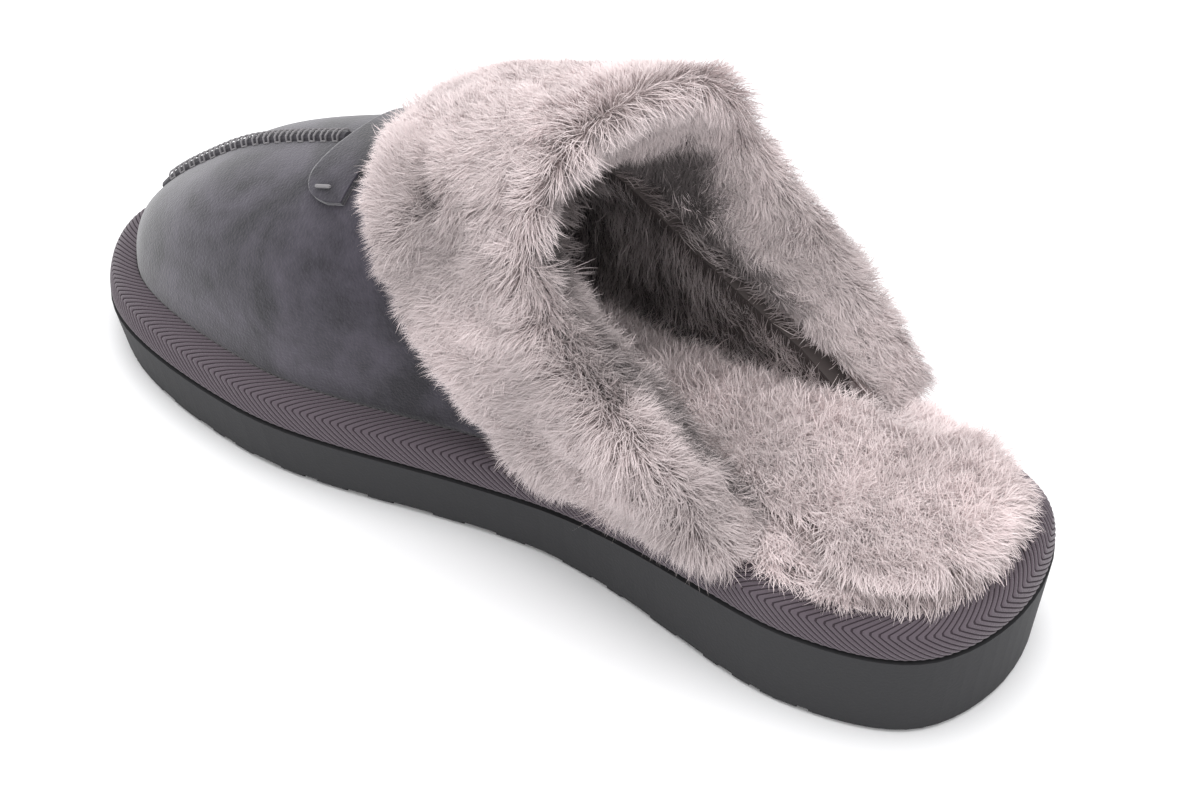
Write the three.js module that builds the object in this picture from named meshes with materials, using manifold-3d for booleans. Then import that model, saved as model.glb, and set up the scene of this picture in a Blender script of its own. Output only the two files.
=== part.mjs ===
// A backless house slipper for the right foot: suede vamp, folded pile cuff, pile footbed, a platform edged
// with twill tape and a moulded foam outsole. Millimetres, +Z up, +Y towards the toe, +X to the outer side.
import * as THREE from "three";
import { mergeVertices } from "three/addons/utils/BufferGeometryUtils.js";
import Module from "manifold-3d";

const wasm = await Module();
wasm.setup();
const { lerp, smoothstep } = THREE.MathUtils;

// ---- Driving dimensions --------------------------------------------------------------------------------

const SOLE_LENGTH = 256;
const CLEARANCE = 0.3; // left between pieces that touch
const STATIONS = 56; // rows of facets from heel to toe

// Outsole
const HEEL_HEIGHT = 23.4; // outsole wall at the heel
const FORE_HEIGHT = 15.6; // outsole wall under the ball of the foot
const TOE_DROP = 4.2; // how much lower the wall is at the tip of the toe
const WALL_DRAFT = 2.4; // how far the wall leans in towards the ground
const EDGE_BEVEL = 1;
const GROOVE_DEPTH = 1.6;
const GROOVE_WAVE = 4; // how far a groove swings to and fro as it crosses the sole

// Platform
const PLATFORM_RISE = 7.5; // foam between the outsole and the sock
const TAPE_THICKNESS = 1.1;
const LEDGE_WIDTH = 7.5; // tape that lies on top of the platform, outside the upper

// Upper
const UPPER_INSET = LEDGE_WIDTH + 0.6; // the suede's outer face, measured in from the sole's edge
const SUEDE_THICKNESS = 1.6;
const STIFFENER_THICKNESS = 1;
const LINING_THICKNESS = 5.5;
const ARCH_POWER = 2.4; // 2 is an elliptical section over the foot, more is squarer
const TOE_PUFF_BACK = 208; // where the toe's stiffener ends, measured from the heel
const UPPER_BACK = 52; // where the sides of the upper end, measured from the heel
const THROAT = 118; // where the upper ends over the instep
const OUTER_STEEPNESS = 2; // how soon the top line climbs on the outer side
const INNER_STEEPNESS = 2.9; // the same on the inner side
const RIDGE_LOWERING = 0.65; // share of a layer's depth that comes off the ridge's height

// Cuff
const CUFF_FRONT_LOW = 108; // front edge of the turned-out cuff, at the platform
const CUFF_FRONT_HIGH = 163; // the same edge over the instep
const CUFF_THICKNESS = 14; // over the instep
const CUFF_LOW_THICKNESS = 10; // at the platform
const CUFF_LIP = 28; // how far the fold stands past the top line on the outer shoulder
const CUFF_TOP_LIP = 22; // the same over the instep
const CUFF_LOW_LIP = 8; // the same at the platform
const CUFF_INNER_LIP = 2.5; // how far the inside of the fold stands past the top line

// Footbed
const BOARD_THICKNESS = 1.2;
const CUSHION_THICKNESS = 3.7;
const PILE_THICKNESS = 5;
const HEEL_PAD_INSET = LEDGE_WIDTH + 1; // the footbed's edge at the open heel
const TOE_NARROWING = 7; // how much narrower the pad is at the toe, where the upper comes down over it
const TOE_NARROWING_SPAN = [190, 225];

// Seam and tab
const SEAM_OFFSET = [1, -4]; // the seam's place across, over the instep and at the toe
const PIPING_WIDTH = 3.2;
const PIPING_LIFT = 0.4; // the gap under the piping, which leaves a groove beside the seam
const PIPING_HEIGHT = 1.9;
const THREAD_DIAMETER = 0.5;
const STITCH_PITCH = 1.8;
const TAB_FRONT = 181;
const TAB_BACK = 167;
const TAB_REACH = 0.56; // half of the tab, as an angle round the arch
const TAB_THICKNESS = 1.8;

// The sole's edge seen from above, as [across, along] from the back of the heel round the inner side.
const OUTLINE = [
  [1, 0],
  [-24, 8.5],
  [-35.3, 37],
  [-29.6, 105],
  [-44.6, 184],
  [-31.5, 238],
  [-3, SOLE_LENGTH],
  [24, 239],
  [46.6, 168],
  [38.8, 95],
  [38.2, 38],
  [28, 8.5],
];

// The ridge of the upper seen from the side, as [along, height], from the tip of the toe to above the ankle.
const RIDGE = [
  [248.2, 19],
  [246, 26.5],
  [240, 34.5],
  [228, 45],
  [210, 57.5],
  [180, 70.5],
  [140, 85.5],
  [101, 101.5],
  [40, 128],
];

// Tread grooves, as [station on the inner edge, width].
const GROOVES = [
  [32, 3],
  [44, 3],
  [52, 4],
  [62, 8],
  [78, 9],
  [89, 5],
  [105, 11],
  [122, 9],
  [140, 11],
  [155, 6],
  [168, 4],
  [181, 9],
  [193, 4],
  [201, 5],
  [215, 5],
  [231, 4],
];

// ---- Solids from grids ---------------------------------------------------------------------------------

// A closed solid from triangles given as rows of three points. Corners that meet are joined, triangles that
// have collapsed are dropped, and the faces are turned to point out.
function closedGeometry(triangles) {
  const positions = new Float32Array(triangles.flat().flatMap((point) => [point.x, point.y, point.z]));
  const loose = new THREE.BufferGeometry();
  loose.setAttribute("position", new THREE.BufferAttribute(positions, 3));
  const merged = mergeVertices(loose, 1e-3);
  const corners = merged.index.array;
  const kept = [];
  for (let i = 0; i < corners.length; i += 3) {
    const [a, b, c] = corners.slice(i, i + 3);
    if (a !== b && b !== c && c !== a) kept.push(a, b, c);
  }
  merged.setIndex(kept);
  if (signedVolume(merged) < 0) {
    const turned = [];
    for (let i = 0; i < kept.length; i += 3) turned.push(kept[i], kept[i + 2], kept[i + 1]);
    merged.setIndex(turned);
  }
  return merged;
}

function signedVolume(geometry) {
  const point = (i) => new THREE.Vector3().fromBufferAttribute(geometry.attributes.position, i);
  const corners = geometry.index.array;
  let volume = 0;
  for (let i = 0; i < corners.length; i += 3) {
    const [a, b, c] = [0, 1, 2].map((k) => point(corners[i + k]));
    volume += a.dot(b.cross(c)) / 6;
  }
  return volume;
}

function pushQuad(triangles, a, b, c, d) {
  triangles.push([a, b, c], [a, c, d]);
}

// The solid between two surfaces, each a function of two shares that run from 0 to 1.
function slab(rows, columns, outer, inner) {
  const triangles = [];
  const grid = (surface) =>
    Array.from({ length: rows + 1 }, (_, i) =>
      Array.from({ length: columns + 1 }, (_, j) => surface(i / rows, j / columns)),
    );
  const top = grid(outer);
  const bottom = grid(inner);
  for (let i = 0; i < rows; i++)
    for (let j = 0; j < columns; j++) {
      pushQuad(triangles, top[i][j], top[i + 1][j], top[i + 1][j + 1], top[i][j + 1]);
      pushQuad(triangles, bottom[i][j], bottom[i][j + 1], bottom[i + 1][j + 1], bottom[i + 1][j]);
    }
  for (let i = 0; i < rows; i++) {
    pushQuad(triangles, top[i][0], bottom[i][0], bottom[i + 1][0], top[i + 1][0]);
    pushQuad(triangles, top[i][columns], top[i + 1][columns], bottom[i + 1][columns], bottom[i][columns]);
  }
  for (let j = 0; j < columns; j++) {
    pushQuad(triangles, top[0][j], top[0][j + 1], bottom[0][j + 1], bottom[0][j]);
    pushQuad(triangles, top[rows][j], bottom[rows][j], bottom[rows][j + 1], top[rows][j + 1]);
  }
  return closedGeometry(triangles);
}

// The solid swept by a closed section. sectionAt(share) gives its corners at each place along the way.
function sweep(steps, sectionAt, { ring = false } = {}) {
  const triangles = [];
  const sections = Array.from({ length: ring ? steps : steps + 1 }, (_, i) => sectionAt(i / steps));
  for (let i = 0; i < steps; i++) {
    const here = sections[i];
    const next = sections[(i + 1) % sections.length];
    here.forEach((corner, k) => {
      const k2 = (k + 1) % here.length;
      pushQuad(triangles, corner, next[k], next[k2], here[k2]);
    });
  }
  if (!ring) {
    triangles.push(...capTriangles(sections[0]));
    triangles.push(...capTriangles(sections[steps]).map(([a, b, c]) => [a, c, b]));
  }
  return closedGeometry(triangles);
}

// Triangles that fill a nearly flat section, turned the way its corners run.
function capTriangles(section) {
  const normal = new THREE.Vector3();
  section.forEach((corner, k) => normal.add(corner.clone().cross(section[(k + 1) % section.length])));
  normal.normalize();
  const right = section[1].clone().sub(section[0]).projectOnPlane(normal).normalize();
  const up = normal.clone().cross(right);
  const flat = section.map((corner) => new THREE.Vector2(corner.dot(right), corner.dot(up)));
  return THREE.ShapeUtils.triangulateShape(flat, []).map((face) => face.map((k) => section[k]));
}

function solidOf(geometry) {
  const bare = geometry.clone();
  bare.deleteAttribute("normal");
  bare.deleteAttribute("uv");
  const merged = mergeVertices(bare, 1e-3);
  const mesh = new wasm.Mesh({
    numProp: 3,
    vertProperties: new Float32Array(merged.attributes.position.array),
    triVerts: new Uint32Array(merged.index.array),
  });
  return new wasm.Manifold(mesh);
}

function geometryOf(solid) {
  const mesh = solid.getMesh();
  const geometry = new THREE.BufferGeometry();
  geometry.setAttribute("position", new THREE.BufferAttribute(mesh.vertProperties, 3));
  geometry.setIndex(new THREE.BufferAttribute(mesh.triVerts, 1));
  return geometry;
}

// ---- The shape of the sole and the upper ---------------------------------------------------------------

const outlineCurve = new THREE.CatmullRomCurve3(
  OUTLINE.map(([across, along]) => new THREE.Vector3(across, along, 0)),
  true,
);

// The sole's edge moved in by a distance: a point for a share of the way round.
function edgePoint(share, inset) {
  const point = outlineCurve.getPointAt(share % 1);
  const tangent = outlineCurve.getTangentAt(share % 1);
  return new THREE.Vector3(point.x + tangent.y * inset, point.y - tangent.x * inset, 0);
}

const footprints = new Map();

// The inset edge as a list of points with its two ends, kept so that each inset is worked out once.
function footprint(inset) {
  const key = inset.toFixed(3);
  if (!footprints.has(key)) {
    const points = Array.from({ length: 480 }, (_, i) => edgePoint(i / 480, inset));
    const heel = points.reduce((a, b) => (b.y < a.y ? b : a));
    const toe = points.reduce((a, b) => (b.y > a.y ? b : a));
    footprints.set(key, { points, heel, toe });
  }
  return footprints.get(key);
}

// Where a line across the sole meets the inset edge: the smallest and the largest X at that station.
function widthAt(y, inset) {
  const { points, heel, toe } = footprint(inset);
  if (y <= heel.y) return { left: heel.x, right: heel.x };
  if (y >= toe.y) return { left: toe.x, right: toe.x };
  const crossings = [];
  points.forEach((here, i) => {
    const next = points[(i + 1) % points.length];
    if (here.y > y !== next.y > y) crossings.push(lerp(here.x, next.x, (y - here.y) / (next.y - here.y)));
  });
  return { left: Math.min(...crossings), right: Math.max(...crossings) };
}

// Height of the outsole's wall: a wedge that drops under the arch, and falls a little towards the toe.
function wallTop(y) {
  const wedge = (HEEL_HEIGHT - FORE_HEIGHT) * (1 - smoothstep(y, 45, 125));
  const toe = TOE_DROP * Math.max(0, (y - 185) / (SOLE_LENGTH - 185)) ** 2;
  return FORE_HEIGHT + wedge - toe;
}

const platformTop = (y) => wallTop(y) + PLATFORM_RISE;
const upperBase = (y) => platformTop(y) + CLEARANCE;

const ridgeCurve = new THREE.SplineCurve(RIDGE.map(([along, height]) => new THREE.Vector2(-along, height)));
const ridgeSamples = ridgeCurve.getPoints(240).map((point) => [-point.x, point.y]);

// Height of the upper's ridge at a station, for a layer that lies a distance under the suede's face.
function ridgeHeight(y, depth) {
  const shifted = y + depth;
  const fromToe = footprint(UPPER_INSET).toe.y - shifted;
  const lowered = RIDGE_LOWERING * depth * Math.min(1, Math.max(0, fromToe) / 20);
  const next = ridgeSamples.findIndex(([along]) => along <= shifted);
  if (next === 0) return upperBase(y);
  if (next < 0) return ridgeSamples.at(-1)[1] - lowered;
  const [a, heightA] = ridgeSamples[next - 1];
  const [b, heightB] = ridgeSamples[next];
  return lerp(heightA, heightB, (shifted - a) / (b - a)) - lowered;
}

// Where the centre seam runs. Near the toe it bends to the tip of the layer.
function seamAcross(y, { left, right }) {
  const straight = lerp(...SEAM_OFFSET, (y - THROAT) / (SOLE_LENGTH - THROAT));
  return lerp(straight, (left + right) / 2, smoothstep(y, SOLE_LENGTH - 20, SOLE_LENGTH - 9));
}

// A point of the upper. angle runs from 0 at the outer side, over the ridge, to pi at the inner side.
// depth is how far the layer lies under the suede's face, and lift how far it starts above the platform.
function archPoint(y, angle, depth = 0, lift = 0) {
  const width = widthAt(y, UPPER_INSET + depth);
  const middle = seamAcross(y, width);
  const across = Math.cos(angle);
  const reach = across > 0 ? width.right - middle : middle - width.left;
  const base = upperBase(y) + lift;
  const height = Math.max(0, ridgeHeight(y, depth) - base);
  return new THREE.Vector3(
    middle + Math.sign(across) * reach * Math.abs(across) ** (2 / ARCH_POWER),
    y,
    base + height * Math.max(0, Math.sin(angle)) ** (2 / ARCH_POWER),
  );
}

// The top line: where the upper ends, lowest and furthest back at the sides.
function topLine(angle) {
  const climb = Math.max(0, Math.sin(angle));
  const steepness = Math.cos(angle) > 0 ? OUTER_STEEPNESS : INNER_STEEPNESS;
  return lerp(UPPER_BACK, THROAT, 1 - (1 - climb) ** steepness);
}

// The front edge of the turned-out cuff.
function cuffFront(angle) {
  return lerp(CUFF_FRONT_LOW, CUFF_FRONT_HIGH, Math.max(0, Math.sin(angle)) ** 0.8);
}

// The foremost station of a layer: where its ridge comes down to its base.
function layerTip(depth, lift) {
  let y = footprint(UPPER_INSET + depth).toe.y;
  while (ridgeHeight(y, depth) < upperBase(y) + lift) y -= 0.02;
  return y;
}

// A sheet that follows the upper between two stations and two angles, from one depth to another.
function upperSheet({ rows, columns, from, to, angles, depths, lift = 0 }) {
  const surface = (depth) => {
    const tip = layerTip(depth, lift);
    return (i, j) => {
      const angle = lerp(angles[0], angles[1], j);
      const end = Math.min(to(angle), tip);
      return archPoint(lerp(from(angle), end, Math.sin((i * Math.PI) / 2)), angle, depth, lift);
    };
  };
  return slab(rows, columns, surface(depths[0]), surface(depths[1]));
}

// ---- Plates that follow the footprint ------------------------------------------------------------------

// A plate built up from levels. Each level has an inset (a number, or a function of the station) and a
// height as a function of the station and of the place across, from -1 at the inner edge to 1 at the outer.
function plate(levels, columns = 4) {
  const row = (level, i) => {
    const share = (1 - Math.cos((Math.PI * i) / STATIONS)) / 2;
    const insetAt = typeof level.inset === "function" ? level.inset : () => level.inset;
    const y = lerp(footprint(insetAt(0)).heel.y, footprint(insetAt(SOLE_LENGTH)).toe.y, share);
    const { left, right } = widthAt(y, insetAt(y));
    return Array.from({ length: columns + 1 }, (_, j) => {
      const across = (2 * j) / columns - 1;
      return new THREE.Vector3(lerp(left, right, j / columns), y, level.height(y, across));
    });
  };
  const grids = levels.map((level) => Array.from({ length: STATIONS + 1 }, (_, i) => row(level, i)));
  const triangles = [];
  for (let i = 0; i < STATIONS; i++) {
    for (let j = 0; j < columns; j++) {
      const [low, high] = [grids[0], grids.at(-1)];
      pushQuad(triangles, high[i][j], high[i][j + 1], high[i + 1][j + 1], high[i + 1][j]);
      pushQuad(triangles, low[i][j], low[i + 1][j], low[i + 1][j + 1], low[i][j + 1]);
    }
    for (let k = 0; k < grids.length - 1; k++) {
      const [low, high] = [grids[k], grids[k + 1]];
      pushQuad(triangles, low[i][0], high[i][0], high[i + 1][0], low[i + 1][0]);
      const j = columns;
      pushQuad(triangles, low[i][j], low[i + 1][j], high[i + 1][j], high[i][j]);
    }
  }
  return closedGeometry(triangles);
}

// ---- Sole and platform ---------------------------------------------------------------------------------

// One tread groove: a band that swings across the sole, cut up into its underside.
function grooveGeometry([station, width]) {
  const reach = 60;
  const steps = 8;
  const side = (offset) =>
    Array.from({ length: steps + 1 }, (_, i) => {
      const across = lerp(-reach, reach, i / steps);
      const along = station + offset + GROOVE_WAVE * Math.sin(((across + 35) * Math.PI) / 35);
      return new THREE.Vector2(across, along);
    });
  const band = new THREE.Shape([...side(-width / 2), ...side(width / 2).reverse()]);
  const geometry = new THREE.ExtrudeGeometry(band, { depth: GROOVE_DEPTH + 1, bevelEnabled: false });
  return geometry.translate(0, 0, -1);
}

function outsoleGeometry() {
  const block = plate(
    [
      { inset: WALL_DRAFT + EDGE_BEVEL, height: () => 0 },
      { inset: WALL_DRAFT, height: () => EDGE_BEVEL },
      { inset: 0, height: wallTop },
    ],
    2,
  );
  let solid = solidOf(block);
  for (const groove of GROOVES) solid = solid.subtract(solidOf(grooveGeometry(groove)));
  return geometryOf(solid);
}

function midsoleGeometry() {
  const side = 0.7 + TAPE_THICKNESS + CLEARANCE;
  return plate([
    { inset: side, height: (y) => wallTop(y) + CLEARANCE },
    { inset: side, height: (y) => wallTop(y) + 4 },
    { inset: side + 2.6, height: platformTop },
  ]);
}

// The tape's section, as [inset from the sole's edge, height above the outsole's wall].
function tapeGeometry() {
  const top = PLATFORM_RISE + CLEARANCE;
  const section = [
    [0.6, CLEARANCE],
    [0.6, 4.2],
    [1.5, 6.8],
    [3.4, top + TAPE_THICKNESS * 0.7],
    [LEDGE_WIDTH, top + TAPE_THICKNESS],
    [LEDGE_WIDTH, top],
    [4.5, top],
    [1.7, 4.2],
    [1.7, CLEARANCE],
  ];
  return sweep(
    2 * STATIONS,
    (share) =>
      section.map(([inset, rise]) => {
        const point = edgePoint(share, inset);
        return point.setZ(wallTop(point.y) + rise);
      }),
    { ring: true },
  );
}

// ---- Footbed -------------------------------------------------------------------------------------------

const boardBottom = (y) => platformTop(y) + CLEARANCE;
const cushionBottom = (y) => boardBottom(y) + BOARD_THICKNESS + CLEARANCE;
const pileBottom = (y) => cushionBottom(y) + CUSHION_THICKNESS + CLEARANCE;

// The footbed fills the open heel as far as the tape, and keeps inside a layer of the upper in front of it.
function insetInside(layer, y) {
  const inside = UPPER_INSET + layer[1] + 2 * CLEARANCE;
  return lerp(HEEL_PAD_INSET, inside, smoothstep(y, UPPER_BACK - 22, UPPER_BACK - 9));
}

// The pad lies inside the lining. It narrows at the toe, where the lining comes down to the board.
function padInset(y) {
  return insetInside(layerDepths.lining, y) + TOE_NARROWING * smoothstep(y, ...TOE_NARROWING_SPAN);
}

function boardGeometry() {
  const inset = (y) => insetInside(layerDepths.stiffener, y);
  return plate([
    { inset, height: boardBottom },
    { inset, height: (y) => boardBottom(y) + BOARD_THICKNESS },
  ]);
}

function cushionGeometry() {
  return plate([
    { inset: padInset, height: cushionBottom },
    { inset: (y) => padInset(y) + 0.8, height: (y) => cushionBottom(y) + CUSHION_THICKNESS },
  ]);
}

// The pile is thickest along the middle and rounds off to its edges.
function footbedPileGeometry() {
  const crown = (y, across) => pileBottom(y) + PILE_THICKNESS * (1 - 0.45 * across ** 4);
  return plate(
    [
      { inset: (y) => padInset(y) + 0.9, height: pileBottom },
      { inset: (y) => padInset(y) + 0.2, height: (y) => pileBottom(y) + 1.4 },
      { inset: (y) => padInset(y) + 2, height: crown },
    ],
    6,
  );
}

// ---- Upper ---------------------------------------------------------------------------------------------

// How far each layer of the upper lies under the suede's outer face, from its outside to its inside.
const layerDepths = (() => {
  const stiffener = SUEDE_THICKNESS + CLEARANCE;
  const lining = stiffener + STIFFENER_THICKNESS + 2 * CLEARANCE;
  return {
    suede: [0, SUEDE_THICKNESS],
    stiffener: [stiffener, stiffener + STIFFENER_THICKNESS],
    lining: [lining, lining + LINING_THICKNESS],
  };
})();

const toTheToe = () => SOLE_LENGTH;

function vampHalfGeometry(angles) {
  return upperSheet({
    rows: 32,
    columns: 14,
    from: topLine,
    to: toTheToe,
    angles,
    depths: layerDepths.suede,
  });
}

function toePuffGeometry() {
  return upperSheet({
    rows: 10,
    columns: 18,
    from: () => TOE_PUFF_BACK,
    to: toTheToe,
    angles: [0.06, Math.PI - 0.06],
    depths: layerDepths.stiffener,
    lift: 0.6,
  });
}

// A band of stay tape under the top line, which takes the stitching of the cuff.
function stayGeometry() {
  return upperSheet({
    rows: 1,
    columns: 24,
    from: (angle) => topLine(angle) + 1.5,
    to: (angle) => topLine(angle) + 9,
    angles: [0.04, Math.PI - 0.04],
    depths: layerDepths.stiffener,
    lift: 0.6,
  });
}

function liningGeometry() {
  return upperSheet({
    rows: 18,
    columns: 20,
    from: topLine,
    to: toTheToe,
    angles: [0, Math.PI],
    depths: layerDepths.lining,
    lift: BOARD_THICKNESS + CLEARANCE,
  });
}

const STRAIGHT_BACK = new THREE.Vector3(0, -1, 0);

// The directions out of the upper and past its edge, at a point of the top line. Low down, where the edge
// runs nearly level, past its edge means straight back.
function edgeFrame(angle) {
  const step = 0.01;
  const point = archPoint(topLine(angle), angle);
  const next = archPoint(topLine(angle + step), angle + step);
  const alongEdge = next.sub(archPoint(topLine(angle - step), angle - step));
  const forward = archPoint(topLine(angle) + 1, angle).sub(point);
  const out = forward.clone().cross(alongEdge).normalize();
  const past = alongEdge.clone().cross(out).normalize();
  if (past.dot(forward) > 0) past.negate();
  return { point, out, past: past.lerp(STRAIGHT_BACK, 1 - smoothstep(Math.sin(angle), 0, 0.3)).normalize() };
}

// How far the fold stands past the top line at an angle round the foot.
function cuffLip(angle) {
  const climb = Math.sin(angle);
  if (Math.cos(angle) < 0) return lerp(CUFF_LOW_LIP, CUFF_TOP_LIP, climb ** 3);
  const shoulder = lerp(CUFF_LOW_LIP, CUFF_LIP, climb ** 0.9);
  return lerp(shoulder, CUFF_TOP_LIP, smoothstep(climb, 0.94, 1));
}

// The cuff's section at an angle round the foot. It lies on the suede from its front edge to the top line,
// then folds over the edge of the suede and the lining.
function cuffSection(angle) {
  const front = cuffFront(angle);
  const back = topLine(angle);
  const lift = 2.2;
  const climb = Math.sin(angle);
  const thickness = lerp(CUFF_LOW_THICKNESS, CUFF_THICKNESS, smoothstep(climb, 0, 0.35));
  const lip = cuffLip(angle);
  const onSuede = [
    [0.04, 1.6],
    [-0.02, thickness * 0.4],
    [0, thickness * 0.8],
    [0.12, thickness],
    [0.6, thickness],
    [0.97, thickness],
  ].map(([share, height]) => archPoint(lerp(front, back, share), angle, -height, lift));
  const { point, out, past } = edgeFrame(angle);
  const liningFace = layerDepths.lining[1];
  const overEdge = [
    [lip * 0.8, thickness * 0.9],
    [lip, thickness * 0.6],
    [lip * 0.85, thickness * 0.22],
    [CUFF_INNER_LIP, -liningFace],
    [CLEARANCE * 2, -liningFace],
    [CLEARANCE * 2, 0.9],
  ].map(([distance, height]) => point.clone().addScaledVector(past, distance).addScaledVector(out, height));
  const underside = [
    [0.9, 0.9],
    [0.3, 0.9],
    [0.24, 1.6],
  ].map(([share, height]) => archPoint(lerp(front, back, share), angle, -height, lift));
  return [...onSuede, ...overEdge, ...underside];
}

function cuffGeometry() {
  const end = 0.015;
  return sweep(30, (share) => cuffSection(lerp(end, Math.PI - end, share)));
}

// ---- Centre seam and tab -------------------------------------------------------------------------------

// A point beside the centre seam, a distance across and a height over the suede.
function seamPoint(y, across, height) {
  const point = archPoint(y, Math.PI / 2);
  const slope = archPoint(y + 0.5, Math.PI / 2).sub(archPoint(y - 0.5, Math.PI / 2)).normalize();
  const up = new THREE.Vector3(1, 0, 0).cross(slope).normalize();
  return point.addScaledVector(up, height).add(new THREE.Vector3(across, 0, 0));
}

const SEAM_START = TAB_FRONT + 1.5;
const SEAM_END = 243.5;

function pipingGeometry() {
  const sides = 7;
  return sweep(18, (share) => {
    const y = lerp(SEAM_START, SEAM_END, share);
    return Array.from({ length: sides }, (_, k) => {
      const angle = (Math.PI * k) / (sides - 1);
      const across = (PIPING_WIDTH / 2) * Math.cos(angle);
      return seamPoint(y, across, lerp(PIPING_LIFT, PIPING_HEIGHT, Math.sin(angle)));
    });
  });
}

// A round cord along a path. Its section is carried from point to point without twisting.
function cord(path, radius, sides = 5) {
  const last = path.length - 1;
  const carried = new THREE.Vector3(0, 1, 0);
  const sections = path.map((point, i) => {
    const ahead = path[Math.min(i + 1, last)].clone().sub(path[Math.max(i - 1, 0)]).normalize();
    carried.projectOnPlane(ahead).normalize();
    const up = ahead.clone().cross(carried);
    return Array.from({ length: sides }, (_, k) => {
      const angle = (2 * Math.PI * k) / sides;
      const corner = point.clone().addScaledVector(carried, radius * Math.cos(angle));
      return corner.addScaledVector(up, radius * Math.sin(angle));
    });
  });
  return sweep(last, (share) => sections[Math.round(share * last)]);
}

// The overcast thread: it crosses over the piping, runs on beside it by one stitch, and crosses back.
function seamThreadGeometry() {
  const crossings = Math.floor((SEAM_END - SEAM_START - 2) / STITCH_PITCH);
  const perCrossing = 6;
  const slant = 0.25; // share of a stitch that each crossing moves on
  const reach = PIPING_WIDTH / 2 + CLEARANCE + THREAD_DIAMETER / 2;
  const low = PIPING_LIFT + CLEARANCE;
  const high = PIPING_HEIGHT + CLEARANCE + THREAD_DIAMETER / 2;
  const path = [];
  for (let crossing = 0; crossing < crossings; crossing++) {
    const from = crossing % 2 ? -1 : 1;
    for (let i = 0; i < perCrossing; i++) {
      const share = i / (perCrossing - 1);
      const y = SEAM_START + 1 + (crossing + slant * share) * STITCH_PITCH;
      const across = from * reach * Math.cos(Math.PI * share);
      path.push(seamPoint(y, across, lerp(low, high, Math.sin(Math.PI * share) ** 0.7)));
    }
  }
  return cord(path, THREAD_DIAMETER / 2);
}

// The tab over the instep: a saddle with rounded front corners, laid across the end of the centre seam.
function tabGeometry() {
  const corner = 0.5; // share of each half that its rounded corner takes
  const surface = (height) => (i, j) => {
    const across = 2 * j - 1;
    const past = Math.max(0, Math.abs(across) - (1 - corner)) / corner;
    const front = lerp(TAB_BACK + 3, TAB_FRONT, Math.sqrt(1 - 0.98 * past ** 2));
    return archPoint(lerp(TAB_BACK, front, i), Math.PI / 2 + TAB_REACH * across, -height);
  };
  return slab(8, 36, surface(0.4 + TAB_THICKNESS), surface(0.4));
}

// A short bar of thread that tacks one rounded end of the tab down.
function barTackGeometry(side) {
  const angle = Math.PI / 2 - side * TAB_REACH * 0.84;
  const height = 0.4 + TAB_THICKNESS + CLEARANCE;
  const [start, end] = [TAB_FRONT - 9, TAB_FRONT - 5.5].map((y) => archPoint(y, angle, -height));
  const bar = new THREE.CapsuleGeometry(0.45, start.distanceTo(end), 3, 6);
  const turn = new THREE.Quaternion().setFromUnitVectors(
    new THREE.Vector3(0, 1, 0),
    end.clone().sub(start).normalize(),
  );
  const middle = start.add(end).multiplyScalar(0.5);
  return bar.applyQuaternion(turn).translate(middle.x, middle.y, middle.z + 0.45);
}

// ---- Assembly ------------------------------------------------------------------------------------------

const material = (color, roughness) => new THREE.MeshStandardMaterial({ color, roughness, metalness: 0 });
const looks = {
  foamRubber: material(0x404042, 0.75),
  softFoam: material(0x8c8a86, 0.95),
  tape: material(0x5f565c, 0.9),
  board: material(0x6b655c, 0.95),
  suede: material(0x5c5a60, 0.95),
  pile: material(0xbdb2ae, 1),
  stiffener: material(0x9a958c, 0.9),
  thread: material(0x78747a, 0.8),
};

const slipper = new THREE.Group();

function addPiece(name, geometry, look, x = 0) {
  const mesh = new THREE.Mesh(geometry, look);
  mesh.name = name;
  mesh.position.x = x;
  slipper.add(mesh);
}

const seamGap = 0.2;
addPiece("outsole", outsoleGeometry(), looks.foamRubber);
addPiece("midsole_foam", midsoleGeometry(), looks.softFoam);
addPiece("platform_tape", tapeGeometry(), looks.tape);
addPiece("insole_board", boardGeometry(), looks.board);
addPiece("footbed_cushion", cushionGeometry(), looks.softFoam);
addPiece("footbed_fur", footbedPileGeometry(), looks.pile);
addPiece("vamp_right", vampHalfGeometry([0, Math.PI / 2]), looks.suede, seamGap);
addPiece("vamp_left", vampHalfGeometry([Math.PI / 2, Math.PI]), looks.suede, -seamGap);
addPiece("toe_puff", toePuffGeometry(), looks.stiffener);
addPiece("topline_stay", stayGeometry(), looks.stiffener);
addPiece("vamp_lining", liningGeometry(), looks.pile);
addPiece("fur_cuff", cuffGeometry(), looks.pile);
addPiece("centre_seam_piping", pipingGeometry(), looks.suede);
addPiece("centre_seam_thread", seamThreadGeometry(), looks.thread);
addPiece("instep_tab", tabGeometry(), looks.suede);
addPiece("bar_tack_right", barTackGeometry(1), looks.thread);
addPiece("bar_tack_left", barTackGeometry(-1), looks.thread);

// The origin is under the middle of the slipper, on the ground.
const box = new THREE.Box3().setFromObject(slipper);
const middle = box.getCenter(new THREE.Vector3());
slipper.position.set(-middle.x, -middle.y, -box.min.z);

export default slipper;
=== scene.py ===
"""A fluffy house slipper: suede vamp, long-pile cuff and footbed, twill-taped platform and a foam outsole."""

import itertools
import math

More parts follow.
